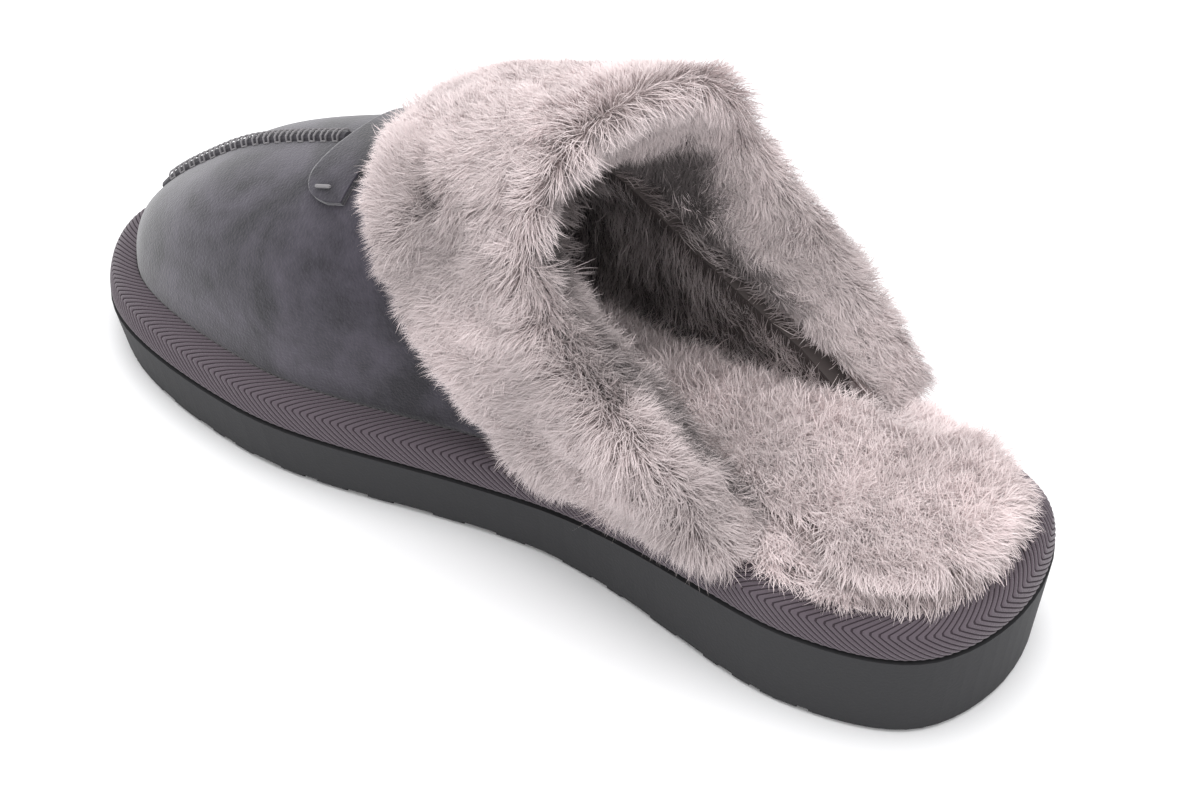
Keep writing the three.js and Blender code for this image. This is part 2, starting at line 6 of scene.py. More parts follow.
import bmesh
import bpy
import numpy as np
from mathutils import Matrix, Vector


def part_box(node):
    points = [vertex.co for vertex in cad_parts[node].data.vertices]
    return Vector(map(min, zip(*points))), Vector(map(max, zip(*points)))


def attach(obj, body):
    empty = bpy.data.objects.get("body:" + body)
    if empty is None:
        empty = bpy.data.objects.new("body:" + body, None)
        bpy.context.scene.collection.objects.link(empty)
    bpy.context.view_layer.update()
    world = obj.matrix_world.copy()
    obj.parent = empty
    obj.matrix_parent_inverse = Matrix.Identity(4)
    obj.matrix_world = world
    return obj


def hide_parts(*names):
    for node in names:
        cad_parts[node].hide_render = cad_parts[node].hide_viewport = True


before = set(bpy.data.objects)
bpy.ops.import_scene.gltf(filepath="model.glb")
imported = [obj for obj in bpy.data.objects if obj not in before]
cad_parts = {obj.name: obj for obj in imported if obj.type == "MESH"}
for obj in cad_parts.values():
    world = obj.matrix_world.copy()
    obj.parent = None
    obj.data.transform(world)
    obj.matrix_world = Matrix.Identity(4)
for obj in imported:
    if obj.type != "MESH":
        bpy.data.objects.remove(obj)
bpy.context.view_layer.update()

MM = 0.001

# ---- Places worked out from the frame --------------------------------------------------------------------

sole_low, sole_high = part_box("outsole")
tape_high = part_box("platform_tape")[1]
cuff_low, cuff_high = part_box("fur_cuff")
pad_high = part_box("footbed_fur")[1]
HEEL_Y = sole_low[1]
MOUTH_BACK = cuff_low[1]  # behind this the footbed lies open


# ---- Camera, light and floor -----------------------------------------------------------------------------

AZIMUTH = math.radians(-53.2)
ELEVATION = math.radians(40.8)
DISTANCE = 0.6148
LENS = 79.7
TARGET = Vector((0.0018, HEEL_Y + 0.1135, 0.0228))


def make_camera():
    level = math.cos(ELEVATION)
    back = Vector((math.sin(AZIMUTH) * level, -math.cos(AZIMUTH) * level, math.sin(ELEVATION)))
    data = bpy.data.cameras.new("camera")
    data.lens = LENS
    data.sensor_width = 36
    data.clip_start = 0.01
    camera = bpy.data.objects.new("camera", data)
    camera.location = TARGET + back * DISTANCE
    camera.rotation_euler = back.to_track_quat("Z", "Y").to_euler()
    bpy.context.scene.collection.objects.link(camera)
    bpy.context.scene.camera = camera


def area_light(name, place, aim, size, power):
    data = bpy.data.lights.new(name, "AREA")
    data.shape = "DISK"
    data.size = size
    data.energy = power
    light = bpy.data.objects.new(name, data)
    light.location = place
    light.rotation_euler = (Vector(place) - Vector(aim)).to_track_quat("Z", "Y").to_euler()
    bpy.context.scene.collection.objects.link(light)


def make_stage():
    """An even white studio, with a soft light overhead and a weak one from behind the heel."""
    world = bpy.data.worlds.new("studio")
    world.use_nodes = True
    background = world.node_tree.nodes["Background"]
    background.inputs["Color"].default_value = (1.0, 1.0, 1.0, 1)
    background.inputs["Strength"].default_value = 0.95
    bpy.context.scene.world = world
    middle = (0, 0, 0.04)
    area_light("overhead", (0.05, 0.1, 1.4), middle, 1.7, 17)
    area_light("fill", (-0.5, -1.0, 0.9), middle, 1.2, 3)
    half = 3.0
    corners = [(-half, -half, 0), (half, -half, 0), (half, half, 0), (-half, half, 0)]
    mesh = bpy.data.meshes.new("floor")
    mesh.from_pydata(corners, [], [(0, 1, 2, 3)])
    floor = bpy.data.objects.new("floor", mesh)
    bpy.context.scene.collection.objects.link(floor)
    floor.data.materials.append(plain("floor", (0.93, 0.93, 0.94), 0.7))
    bpy.context.scene.view_settings.view_transform = "Standard"


# ---- Materials -------------------------------------------------------------------------------------------


def linear(*srgb):
    """Linear colour from sRGB numbers out of 255."""
    shares = [value / 255 for value in srgb]
    return tuple(share / 12.92 if share <= 0.04045 else ((share + 0.055) / 1.055) ** 2.4 for share in shares)


def plain(name, colour, roughness, sheen=0.0, specular=0.5):
    """A material of one colour."""
    material = bpy.data.materials.new(name)
    material.use_nodes = True
    shader = material.node_tree.nodes["Principled BSDF"]
    shader.inputs["Base Color"].default_value = (*colour, 1)
    shader.inputs["Roughness"].default_value = roughness
    shader.inputs["Sheen Weight"].default_value = sheen
    shader.inputs["Specular IOR Level"].default_value = specular
    return material


def noise(nodes, links, scale, detail, roughness=0.6, distortion=0.0):
    """A noise texture in the object's own coordinates."""
    place = nodes.new("ShaderNodeTexCoord")
    texture = nodes.new("ShaderNodeTexNoise")
    texture.inputs["Scale"].default_value = scale
    texture.inputs["Detail"].default_value = detail
    texture.inputs["Roughness"].default_value = roughness
    texture.inputs["Distortion"].default_value = distortion
    links.new(place.outputs["Object"], texture.inputs["Vector"])
    return texture.outputs["Fac"]


def add_bump(material, scale, strength, distance):
    """Adds fine grain to a material."""
    nodes = material.node_tree.nodes
    links = material.node_tree.links
    grain = noise(nodes, links, scale, 4, roughness=0.5)
    bump = nodes.new("ShaderNodeBump")
    bump.inputs["Strength"].default_value = strength
    bump.inputs["Distance"].default_value = distance
    links.new(grain, bump.inputs["Height"])
    links.new(bump.outputs["Normal"], nodes["Principled BSDF"].inputs["Normal"])
    return material


SMALL_SMUDGES = 0.45  # how strongly the small smudges add to the broad ones
DARKEST_AT = 0.6  # the sum of both smudges where the suede is darkest
LIGHTEST_AT = 0.86


def suede_material(name, dark, light):
    """Brushed nap: smudges of lighter and darker nap in two sizes, over a fine grain."""
    material = plain(name, light, 0.95, sheen=0.5, specular=0.1)
    nodes = material.node_tree.nodes
    links = material.node_tree.links
    mixed = nodes.new("ShaderNodeMath")
    mixed.operation = "MULTIPLY_ADD"
    mixed.inputs[1].default_value = SMALL_SMUDGES
    broad = noise(nodes, links, 30, 4, distortion=0.6)
    small = noise(nodes, links, 130, 6, roughness=0.7, distortion=0.3)
    links.new(small, mixed.inputs[0])
    links.new(broad, mixed.inputs[2])
    ramp = nodes.new("ShaderNodeValToRGB")
    ramp.color_ramp.elements[0].position = DARKEST_AT
    ramp.color_ramp.elements[0].color = (*dark, 1)
    ramp.color_ramp.elements[1].position = LIGHTEST_AT
    ramp.color_ramp.elements[1].color = (*light, 1)
    links.new(mixed.outputs["Value"], ramp.inputs["Fac"])
    links.new(ramp.outputs["Color"], nodes["Principled BSDF"].inputs["Base Color"])
    return add_bump(material, 1500, 0.4, 0.0004)


# ---- Mesh helpers ----------------------------------------------------------------------------------------


def unit(vectors):
    """The vectors, each made 1 long."""
    return vectors / np.maximum(np.linalg.norm(vectors, axis=-1, keepdims=True), 1e-12)


def vertex_places(mesh):
    places = np.empty(len(mesh.vertices) * 3, dtype=np.float32)
    mesh.vertices.foreach_get("co", places)
    return places.reshape(-1, 3).astype(float)


def vertex_normals(mesh):
    normals = np.empty(len(mesh.vertices) * 3, dtype=np.float32)
    mesh.vertices.foreach_get("normal", normals)
    return normals.reshape(-1, 3).astype(float)


def move_vertices(mesh, places):
    mesh.vertices.foreach_set("co", places.astype(np.float32).ravel())
    mesh.update()


def new_object(name, mesh, slot, *nodes):
    """A piece that rides on the slipper's one body and stands for nodes. slot is not used."""
    piece = bpy.data.objects.new(name, mesh)
    bpy.context.scene.collection.objects.link(piece)
    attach(piece, "root")
    if nodes:
        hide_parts(*nodes)
    return piece


def apply_modifiers(piece):
    """Turns a piece into the mesh that its modifiers make."""
    graph = bpy.context.evaluated_depsgraph_get()
    done = bpy.data.meshes.new_from_object(piece.evaluated_get(graph))
    piece.modifiers.clear()
    piece.data = done


def smooth_copy(node, name, slot, material, levels=2, crease_angle=45, swell=0):
    """A smooth copy of a faceted CAD node, with its sharp edges kept. swell is how far its surface moves
    out."""
    form = bmesh.new()
    form.from_mesh(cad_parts[node].data)
    bmesh.ops.remove_doubles(form, verts=form.verts, dist=1e-6)
    bmesh.ops.join_triangles(
        form, faces=form.faces, angle_face_threshold=0.35, angle_shape_threshold=1.2, cmp_seam=False,
        cmp_sharp=False, cmp_uvs=False, cmp_vcols=False, cmp_materials=False,
    )
    crease = form.edges.layers.float.new("crease_edge")
    for edge in form.edges:
        if len(edge.link_faces) == 2 and edge.calc_face_angle(0) > math.radians(crease_angle):
            edge[crease] = 1.0
    mesh = bpy.data.meshes.new(name)
    form.to_mesh(mesh)
    form.free()
    piece = new_object(name, mesh, slot, node)
    subdivide = piece.modifiers.new("smooth", "SUBSURF")
    subdivide.levels = levels
    subdivide.render_levels = levels
    apply_modifiers(piece)
    move_vertices(piece.data, vertex_places(piece.data) + swell * vertex_normals(piece.data))
    piece.data.materials.clear()
    piece.data.materials.append(material)
    piece.data.shade_smooth()
    return piece


def shrunken_copy(node, name, slot, voxel, depth_at, material, smoothing=6):
    """A soft, rounded copy of a CAD node, moved in from its surface: what the pile grows from. depth_at gives
    how far in, for each point and its normal."""
    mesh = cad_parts[node].data.copy()
    mesh.name = name
    piece = new_object(name, mesh, slot, node)
    remesh = piece.modifiers.new("remesh", "REMESH")
    remesh.mode = "VOXEL"
    remesh.voxel_size = voxel
    smooth = piece.modifiers.new("smooth", "SMOOTH")
    smooth.factor = 0.6
    smooth.iterations = smoothing
    apply_modifiers(piece)
    places, normals = vertex_places(piece.data), vertex_normals(piece.data)
    move_vertices(piece.data, places - normals * depth_at(places, normals)[:, None])
    settle = piece.modifiers.new("settle", "SMOOTH")
    settle.factor = 0.5
    settle.iterations = 4
    apply_modifiers(piece)
    piece.data.materials.clear()
    piece.data.materials.append(material)
    piece.data.shade_smooth()
    return piece


def shade_smooth(node, crease_angle=35):
    """Shades a CAD node smooth between its sharp edges."""
    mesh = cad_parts[node].data
    mesh.shade_smooth()
    mesh.set_sharp_from_angle(angle=math.radians(crease_angle))


# ---- Tape ------------------------------------------------------------------------------------------------

RIB_PITCH = 2 * MM  # along the sole's edge
RIB_SLANT = 1.5  # how far a rib runs along the edge for each step across the tape
RIB_HEIGHT = 0.35 * MM
RIB_FULLNESS = 0.7  # below 1 a rib is fuller than a sine
RIB_SUNK = 0.6  # the share of its height by which a rib is sunk into the tape
RIB_STEPS = 7
VALLEY_LEVEL = 0.6  # a face is a valley, painted with shade, when its two ends rise less than this together
AHEAD_SHARE = 0.0005  # how far along the edge to look for its direction, as a share of the edge

# The tape's section as (inset from the sole's edge, height over the outsole's wall) in millimetres: its face,
# then its back.
TAPE_TOP = tape_high[2] - sole_high[2]
TAPE_FACE = [(1.0, 0.4), (0.35, 0.9), (0.3, 3.6), (1.1, 6.6), (3.0, TAPE_TOP / MM - 0.6), (7.4, TAPE_TOP / MM)]
TAPE_BACK = [(7.5, TAPE_TOP / MM - 0.6), (4.5, TAPE_TOP / MM - 1.1), (1.7, 4.2)]


def closed_spline(points, share):
    """Points of a closed Catmull-Rom curve, at shares of its length from 0 to 1."""
    ring = np.concatenate([points, points[:1]])
    lengths = np.concatenate([[0], np.cumsum(np.linalg.norm(np.diff(ring, axis=0), axis=1))])
    place = share * lengths[-1]
    piece = np.clip(np.searchsorted(lengths, place, side="right") - 1, 0, len(points) - 1)
    t = ((place - lengths[piece]) / (lengths[piece + 1] - lengths[piece]))[:, None]
    a, b, c, d = (points[(piece + k) % len(points)] for k in (-1, 0, 1, 2))
    return 0.5 * (2 * b + (c - a) * t + (2 * a - 5 * b + 4 * c - d) * t**2 + (3 * b - a - 3 * c + d) * t**3)


def sole_edge():
    """The corners of the upper edge of the outsole's wall, anticlockwise."""
    places = vertex_places(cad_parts["outsole"].data)
    rows = {}
    for place in places[places[:, 2] > 0.4 * sole_high[2]]:
        rows.setdefault(round(place[1] / MM, 2), []).append(place)
    right = [max(rows[y], key=lambda place: place[0]) for y in sorted(rows)]
    left = [min(rows[y], key=lambda place: place[0]) for y in sorted(rows)]
    return np.array(right + left[-2:0:-1])


def tape_face(steps):
    """The face of the tape's section as insets and rises, and each point's distance from the face's middle."""
    corners = np.array(TAPE_FACE) * MM
    lengths = np.concatenate([[0], np.cumsum(np.linalg.norm(np.diff(corners, axis=0), axis=1))])
    place = np.linspace(0, lengths[-1], steps)
    face = np.stack([np.interp(place, lengths, corners[:, k]) for k in (0, 1)], axis=1)
    for _ in range(2):
        face[1:-1] = (face[:-2] + 2 * face[1:-1] + face[2:]) / 4
    return face, place - lengths[-1] / 2


def ring_faces(rows, columns):
    """The faces of a grid that is closed both ways."""
    number = np.arange(rows * columns).reshape(rows, columns)
    beside, above = np.roll(number, -1, axis=0), np.roll(number, -1, axis=1)
    return np.stack([number, beside, np.roll(beside, -1, axis=1), above], axis=2).reshape(-1, 4).tolist()


def tape_mesh(name, face_steps=24):
    """The tape round the platform, woven in two bands of ribs that slant away from its middle line."""
    rim = sole_edge()
    perimeter = np.linalg.norm(np.diff(rim, axis=0, append=rim[:1]), axis=1).sum()
    ribs = round(perimeter / RIB_PITCH)
    stations = np.arange(ribs * RIB_STEPS)
    crest = np.abs(np.sin(np.pi * stations / RIB_STEPS))
    face, from_middle = tape_face(face_steps)
    slope = unit(np.gradient(face, axis=0))
    section = np.concatenate([face, np.array(TAPE_BACK) * MM])
    columns = []
    for k, (inset, rise) in enumerate(section):
        on_face = k < face_steps
        shift = RIB_SLANT * abs(from_middle[k]) if on_face else RIB_SLANT * from_middle[-1]
        share = (stations / len(stations) + shift / perimeter) % 1
        edge = closed_spline(rim, share)
        ahead = closed_spline(rim, (share + AHEAD_SHARE) % 1) - closed_spline(rim, (share - AHEAD_SHARE) % 1)
        ahead = unit(ahead * np.array([1, 1, 0]))
        inward = np.stack([-ahead[:, 1], ahead[:, 0], np.zeros(len(edge))], axis=1)
        height = RIB_HEIGHT * (crest**RIB_FULLNESS - RIB_SUNK) if 0 < k < face_steps - 1 else 0 * crest
        out, up = (slope[k][1], slope[k][0]) if on_face else (0, 0)
        column = edge + inward * (inset - out * height)[:, None]
        column[:, 2] += rise + up * height
        columns.append(column)
    mesh = bpy.data.meshes.new(name)
    places = np.stack(columns, axis=1).reshape(-1, 3).tolist()
    mesh.from_pydata(places, [], ring_faces(len(stations), len(section)))
    # The faces in the valleys between the ribs get a darker material: painted shade.
    shaded_valley = np.zeros((len(stations), len(section)), dtype=np.int32)
    shaded_valley[crest + np.roll(crest, -1) < VALLEY_LEVEL, :face_steps] = 1
    mesh.polygons.foreach_set("material_index", shaded_valley.ravel())
    mesh.shade_smooth()
    return mesh


# ---- Pile ------------------------------------------------------------------------------------------------

STRAND_STEPS = 4
MOST_STRANDS = 26000  # in one piece
LIGHTNESS = np.linspace(0.12, 1.16, 10)  # of each tone, where 1 is the full colour of the pile
LEVELS = {"root": 0.45, "middle": 0.8, "tip": 1.0}  # how near each part of a strand is to the tip's colour
CELL_FACTORS = [0x9E3779B97F4A7C15, 0xC2B2AE3D27D4EB4F, 0x165667B19E3779F9]  # odd numbers that mix well


def in_surface(vectors, normals):
    """The part of each vector that lies in the surface."""
    return vectors - normals * (vectors * normals).sum(1, keepdims=True)


def waves(points, wavelength, seed, count=6):
    """A smooth random field over space, mostly between -1.5 and 1.5."""
    rng = np.random.default_rng(seed)
    total = np.zeros(len(points))
    for _ in range(count):
        direction = rng.normal(size=3)
        direction *= 2 * math.pi / (wavelength * rng.uniform(0.7, 1.4) * np.linalg.norm(direction))
        total += np.sin(points @ direction + rng.uniform(0, 2 * math.pi))
    return total / math.sqrt(count / 2)


def luck_of(cells, seed, count):
    """Random numbers from 0 to 1 that depend only on each cell's three whole numbers."""
    columns = []
    with np.errstate(over="ignore"):
        mixed = np.full(len(cells), seed * 7919 + 17, dtype=np.uint64)
        for axis, factor in enumerate(CELL_FACTORS):
            mixed ^= cells[:, axis].astype(np.uint64) * np.uint64(factor)
        for _ in range(count):
            mixed = mixed * np.uint64(6364136223846793005) + np.uint64(1442695040888963407)
            stirred = (mixed ^ (mixed >> np.uint64(29))) * np.uint64(0xBF58476D1CE4E5B9)
            columns.append((stirred >> np.uint64(40)).astype(float) / 2**24)
    return np.stack(columns, axis=1)


def tufts(points, size, seed):
    """The middle of the tuft that each point belongs to, and four random numbers shared by the whole tuft."""
    home = np.floor(points / size).astype(np.int64)
    nearest = np.full(len(points), np.inf)
    middles = np.zeros_like(points)
    luck = np.zeros((len(points), 4))
    for step in itertools.product((-1, 0, 1), repeat=3):
        cell = home + np.array(step)
        numbers = luck_of(cell, seed, 7)
        middle = (cell + numbers[:, :3]) * size
        distance = ((points - middle) ** 2).sum(1)
        nearer = distance < nearest
        nearest[nearer] = distance[nearer]
        middles[nearer] = middle[nearer]
        luck[nearer] = numbers[nearer, 3:]
    return middles, luck


def scatter(mesh, count, rng, wanted=None):
    """Points spread evenly over a mesh, with their normals. wanted gives each point's chance of being kept."""
    mesh.calc_loop_triangles()
    corners = np.empty(len(mesh.loop_triangles) * 3, dtype=np.int32)
    mesh.loop_triangles.foreach_get("vertices", corners)
    corners = corners.reshape(-1, 3)
    places, normals = vertex_places(mesh), vertex_normals(mesh)
    a, b, c = (places[corners[:, k]] for k in range(3))
    areas = np.linalg.norm(np.cross(b - a, c - a), axis=1) / 2
    total = areas.sum()
    chosen = rng.choice(len(corners), size=count, p=areas / total)
    u, v = rng.random(count), rng.random(count)
    flip = u + v > 1
    u[flip], v[flip] = 1 - u[flip], 1 - v[flip]
    weights = np.stack([1 - u - v, u, v], axis=1)[:, :, None]
    picked = corners[chosen]
    points = (places[picked] * weights).sum(1)
    directions = unit((normals[picked] * weights).sum(1))
    if wanted is not None:
        kept = rng.random(count) < wanted(points, directions)
        points, directions = points[kept], directions[kept]
    return points, directions


def grow(points, normals, flow, style, trim, rng):
    """The strands' centre lines, as points for each step from root to tip, and how light each strand is,
    around 0. Where the flow is weak the strands stand up and point all ways.

    style holds length, the lean at the root and at the tip (radians from the normal), tuft size, how strongly
    big and small tufts gather, how much directions differ, how far strands bend sideways, droop and curl."""
    big_middle, big_luck = tufts(points, style["tuft"], style["seed"])
    small_middle, small_luck = tufts(points, style["tuft"] * 0.3, style["seed"] + 1)
    strength = np.clip(np.linalg.norm(flow, axis=1) / 0.9, 0, 1)
    spread = style["spread"] + 2.2 * (1 - strength)
    spin = spread * ((big_luck[:, 0] - 0.5) + 0.8 * (small_luck[:, 0] - 0.5) + rng.normal(0, 0.35, len(points)))
    heading = unit(flow)
    side = np.cross(normals, heading)
    bend = style["bend"] * ((small_luck[:, 1] - 0.5) * 2 + rng.normal(0, 0.4, len(points)))
    size = 0.84 + 0.16 * big_luck[:, 1] + 0.16 * small_luck[:, 1] + rng.normal(0, 0.07, len(points))
    length = style["length"] * trim * size * (0.75 + 0.25 * strength)
    standing = 0.35 + 0.65 * strength
    lean_root = standing * style["lean"][0] + rng.normal(0, 0.08, len(points))
    lean_tip = standing * style["lean"][1] + (big_luck[:, 2] - 0.5) * 0.2 + (small_luck[:, 2] - 0.5) * 0.35
    ahead_of_root = heading * np.cos(spin)[:, None] + side * np.sin(spin)[:, None]
    pull = []
    for middle in (big_middle, small_middle):
        towards = middle - points + ahead_of_root * (style["length"] * 0.25)
        pull.append(in_surface(towards, normals))
    line = [points]
    for step in range(STRAND_STEPS):
        share = (step + 0.5) / STRAND_STEPS
        lean = lean_root + (lean_tip - lean_root) * share**0.8
        stride = (length / STRAND_STEPS)[:, None]
        turn = spin + bend * (share - 0.5)
        along = heading * np.cos(turn)[:, None] + side * np.sin(turn)[:, None]
        ahead = normals * np.cos(lean)[:, None] + along * np.sin(lean)[:, None]
        ahead[:, 2] -= style["droop"] * share
        line.append(line[-1] + unit(ahead) * stride)
    line = np.stack(line, axis=1)
    for step in range(1, STRAND_STEPS + 1):
        share = step / STRAND_STEPS
        big_share = style["gather"][0] * share**1.5
        small_share = style["gather"][1] * share**1.2
        line[:, step] += pull[0] * big_share + pull[1] * small_share
    wobble = rng.normal(0, style["curl"], (len(points), STRAND_STEPS + 1, 3))
    wobble[:, 0] = 0
    line += np.cumsum(wobble, axis=1)
    light = 0.4 * big_luck[:, 3] + 0.3 * small_luck[:, 3] + 0.3 * rng.random(len(points)) - 0.5
    return line, light


def strand_mesh(name, line, normals, width, tone_index, tones, rng):
    """A mesh of tapering ribbons along centre lines. Each tone has three materials: root, middle and tip."""
    count, steps = line.shape[0], line.shape[1] - 1
    ahead = unit(np.gradient(line, axis=1))
    side = unit(np.cross(ahead, normals[:, None, :]))
    lift = np.cross(side, ahead)
    roll = rng.normal(0, 0.22, (count, 1, 1))
    blade = side * np.cos(roll) + lift * np.sin(roll)
    share = np.linspace(0, 1, steps + 1)
    half = (width * rng.uniform(0.7, 1.3, count) / 2)[:, None] * (0.75 + 0.6 * share - 1.25 * share**3)[None, :]
    half = np.maximum(half, 0)[:, :, None]
    left, right = line - blade * half, line + blade * half
    per = 2 * steps + 1
    places = np.empty((count, per, 3))
    places[:, 0 : 2 * steps : 2] = left[:, :steps]
    places[:, 1 : 2 * steps : 2] = right[:, :steps]
    places[:, 2 * steps] = line[:, steps]
    first = (np.arange(count) * per)[:, None]
    quads = [first + np.array([[2 * k, 2 * k + 1, 2 * k + 3, 2 * k + 2]]) for k in range(steps - 1)]
    tip = first + np.array([[2 * steps - 2, 2 * steps - 1, 2 * steps]])
    loops = np.concatenate([np.concatenate(quads, axis=1), tip], axis=1).ravel().astype(np.int32)
    sizes = np.tile(np.array([4] * (steps - 1) + [3], dtype=np.int32), count)
    starts = np.concatenate([[0], np.cumsum(sizes)[:-1]]).astype(np.int32)
    mesh = bpy.data.meshes.new(name)
    mesh.vertices.add(count * per)
    mesh.vertices.foreach_set("co", places.astype(np.float32).ravel())
    mesh.loops.add(len(loops))
    mesh.loops.foreach_set("vertex_index", loops)
    mesh.polygons.add(len(sizes))
    mesh.polygons.foreach_set("loop_start", starts)
    levels = np.minimum(np.arange(steps) * 3 // steps, 2)
    slots = (tone_index[:, None] * 3 + levels[None, :]).astype(np.int32)
    for trio in tones:
        for material in trio:
            mesh.materials.append(material)
    mesh.polygons.foreach_set("material_index", slots.ravel())
    mesh.update(calc_edges=True)
    mesh.polygons.foreach_set("use_smooth", np.ones(len(sizes), dtype=bool))
    return mesh


def tone_set(name, root, tip):
    """Three materials from a strand's root to its tip, for each lightness."""
    trios = []
    for index, light in enumerate(LIGHTNESS):
        trio = []
        for level, share in LEVELS.items():
            colour = tuple(min(1, (a + (b - a) * share) * light) for a, b in zip(root, tip))
            trio.append(plain(f"{name}_{level}_{index}", colour, 0.8, sheen=0.15, specular=0.2))
        trios.append(trio)
    return trios


def pile(name, base, count, flow_at, style, tones, seed, wanted, light_at, trim_at=None):
    """Pile that grows from a base mesh, in pieces side by side of at most MOST_STRANDS. light_at gives how
    light it is at a place, where 1 is the full colour of the pile, and trim_at the share of its length that
    is left."""
    rng = np.random.default_rng(seed)
    points, normals = scatter(base, count, rng, wanted)
    flow = in_surface(flow_at(points, normals), normals)
    trim = 1.0 if trim_at is None else trim_at(points, normals)
    parts = math.ceil(len(points) / MOST_STRANDS)
    line, light = grow(points, normals, flow, style, trim, rng)
    light = style["contrast"] * light + light_at(points, normals)
    index = np.interp(light, LIGHTNESS, np.arange(len(LIGHTNESS))).round().astype(int)
    order = np.argsort(points[:, 0] + 0.3 * points[:, 1])
    for number, chosen in enumerate(np.array_split(order, parts), start=1):
        label = f"{name}_{number}" if parts > 1 else name
        mesh = strand_mesh(label, line[chosen], normals[chosen], style["width"], index[chosen], tones, rng)
        new_object(label, mesh, "pile")


# ---- Flow of the pile ------------------------------------------------------------------------------------

# Places where the pile parts and stands up, so that its darker depth shows: middle, radius and how much darker.
# The darkening in the crowns is painted shade of the pile's depth.
CUFF_CROWNS = [
    (Vector((cuff_low[0] + 9 * MM, cuff_high[1] - 27 * MM, cuff_high[2] - 29 * MM)), 16 * MM, 0.32),
]
FOOTBED_CROWNS = [
    (Vector((-11 * MM, HEEL_Y + 33 * MM, pad_high[2])), 13 * MM, 0.05),
    (Vector((-4 * MM, HEEL_Y + 63 * MM, pad_high[2])), 11 * MM, 0.14),
]


def turned(flow, normals, turn):
    """Flow turned about the normals by an angle at each point."""
    side = np.cross(normals, flow)
    return flow * np.cos(turn)[:, None] + side * np.sin(turn)[:, None]


def near(points, middle, radius):
    """1 at a middle, falling to 0 beyond its radius."""
    return np.exp(-(((points - np.array(middle)) ** 2).sum(1)) / radius**2)


def calmed(flow, points, crowns, calm):
    """Flow that dies away in each crown."""
    for middle, radius, _ in crowns:
        flow = flow * (1 - calm * near(points, middle, radius))[:, None]
    return flow


def swirled(flow, points, normals, crowns, strength):
    """Flow that also runs round each crown."""
    for middle, radius, _ in crowns:
        arm = (points - np.array(middle)) / radius
        flow = flow + strength * near(points, middle, 1.5 * radius)[:, None] * np.cross(arm, normals)
    return flow


def outwardness(points, normals):
    """1 on the outside of the cuff, -1 on its inside, measured from a line along the middle of the foot."""
    away = np.stack([points[:, 0], np.zeros(len(points)), points[:, 2] - 0.4 * cuff_high[2]], axis=1)
    return (unit(away) * normals).sum(1)


def rim_share(points, normals):
    """1 along the fold of the rim, 0 away from it."""
    sideways_on = 1 - np.abs(outwardness(points, normals) - 0.15) / 0.45
    return np.clip(sideways_on, 0, 1) * np.clip(-2 * normals[:, 1], 0, 1)


def cuff_flow(points, normals):
    """Down each side. It runs back over the fold of the rim, and turns forwards towards the front edge."""
    climb = np.clip((points[:, 2] - pad_high[2]) / (cuff_high[2] - pad_high[2]), 0, 1)
    rim = MOUTH_BACK + 50 * MM * climb
    forward = np.clip((points[:, 1] - rim) / (46 * MM), 0, 1)
    facing_out = np.clip(outwardness(points, normals) * 1.5, 0, 1)
    drift = -0.5 + (2.6 * forward - 0.6) * facing_out
    sideways = 0.25 * np.tanh(points[:, 0] / (20 * MM))
    flow = np.stack([sideways, drift, np.full(len(points), -1.0)], axis=1)
    flow = calmed(in_surface(flow, normals), points, CUFF_CROWNS, 0.85)
    flow *= 1 - 0.4 * rim_share(points, normals)[:, None]
    flow = swirled(flow, points, normals, CUFF_CROWNS, 1.1)
    return turned(flow, normals, 0.4 * waves(points, 42 * MM, 11) + 0.3 * waves(points, 13 * MM, 12))


def footbed_flow(points, normals):
    """Towards the heel, fanning out to the edges."""
    fan = points[:, 0] / (24 * MM) + 0.15
    flow = np.stack([fan, np.full(len(points), -1.0), np.full(len(points), -0.2)], axis=1)
    flow = calmed(in_surface(flow, normals), points, FOOTBED_CROWNS, 0.45)
    return turned(flow, normals, 0.3 * waves(points, 36 * MM, 21) + 0.25 * waves(points, 13 * MM, 22))


def edge_flow(points, normals):
    """Down the side of the pad, and outwards with the footbed's pile."""
    return footbed_flow(points, normals) + np.array([0, 0, -1.2])


def depth_in(points):
    """0 at the mouth, 1 deep under the upper."""
    return np.clip((points[:, 1] - (MOUTH_BACK + 16 * MM)) / (50 * MM), 0, 1)


def facing_in(points, normals):
    """1 on the inside of the cuff, 0 on its outside."""
    return np.clip(0.4 - outwardness(points, normals), 0, 1)


def cuff_depth(points, normals):
    """The backing lies deepest where the cuff is thick, and is left round along the fold of the rim."""
    thick = np.clip(points[:, 2] / cuff_high[2] * 2.5 - 1, 0, 1)
    away_from_fold = np.clip(1.2 + 2 * normals[:, 1], 0, 1)
    return 2.3 * MM + 2.9 * MM * thick * away_from_fold


# How the rim is pushed out of its even shape: middle, radius and push. The inner side of the foot is pressed
# forwards, and the outer shoulder stands up.
RIM_PUSHES = [
    ((-0.36 * cuff_high[0], MOUTH_BACK + 56 * MM, 0.83 * cuff_high[2]), 22 * MM, (-3.5 * MM, 7 * MM, 0)),
    ((0.5 * cuff_high[0], MOUTH_BACK + 47 * MM, 0.95 * cuff_high[2]), 21 * MM, (1 * MM, -1.5 * MM, 4 * MM)),
]


def push_rim(mesh):
    """Pushes the rim out of its even shape."""
    places = vertex_places(mesh)
    for middle, radius, push in RIM_PUSHES:
        places += near(places, middle, radius)[:, None] * np.array(push)
    move_vertices(mesh, places)


def cuff_trim(points, normals):
    """The pile is shorter inside the mouth and along the front edge."""
    return 1 - np.maximum(0.45 * facing_in(points, normals), 0.4 * np.clip(normals[:, 1], 0, 1))


def footbed_depth(points, normals):
    """The same everywhere."""
    return np.full(len(points), 2.2 * MM)


# Painted shade just inside the mouth: the pile's colour is darkened there, where the mouth's shadow falls.
SHADE_LIGHT = 0.14  # how light the pile is there
SHADE_HALF_WIDTH = 26 * MM
SHADE_TOP = 95 * MM


